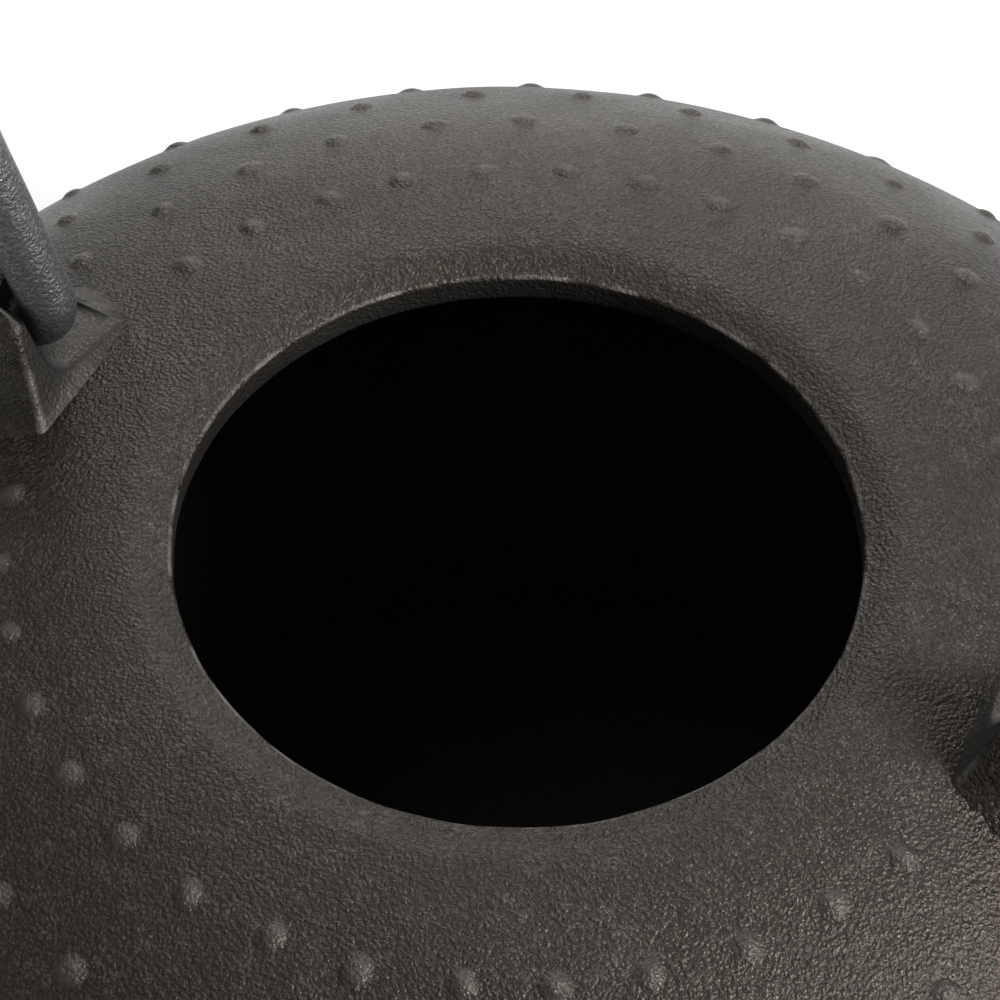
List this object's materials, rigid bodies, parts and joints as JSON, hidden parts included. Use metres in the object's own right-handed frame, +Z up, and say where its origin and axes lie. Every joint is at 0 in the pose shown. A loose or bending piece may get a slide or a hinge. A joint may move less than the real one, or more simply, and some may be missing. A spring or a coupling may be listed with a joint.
{
  "type": "cast iron teapot",
  "caption": "Cast iron teapot with a round mouth, a short spout, two ears, a bent rod handle that swings over the top, and a separate domed lid.",
  "frame": {"origin": "centre of the flat foot, on the plane that the teapot stands on", "axes": "+Z up, +X towards the spout; the handle pivots about a line along X and the mouth's axis is Z"},
  "size_m": [0.2848, 0.1656, 0.1773],
  "materials": {
    "cast_iron_body": "sand-cast grain under a thin dark brown lacquer",
    "cast_iron_ears": "sand-cast grain, worn smoother",
    "handle_steel": "blackened steel rod, satin",
    "rivet_steel": "blackened steel"
  },
  "bodies": {
    "pot": {"body_shell": "cast_iron_body", "spout": "cast_iron_body", "front_ear": "cast_iron_ears", "rear_ear": "cast_iron_ears"},
    "handle": {"bail_handle": "handle_steel"},
    "lid": {"lid_plate": "cast_iron_body", "lid_knob": "cast_iron_body", "knob_rivet": "rivet_steel", "knob_washer": "rivet_steel"}
  },
  "joints": [
    {"name": "handle_swing", "type": "hinge", "parent": "pot", "child": "handle", "pos_m": [0, 0, 0.0826], "axis": [-1, 0, 0], "range_deg": [0, 100]},
    {"name": "lid_lift", "type": "slide", "parent": "pot", "child": "lid", "axis": [0, 0, 1], "range_m": [0, 0.12]}
  ]
}
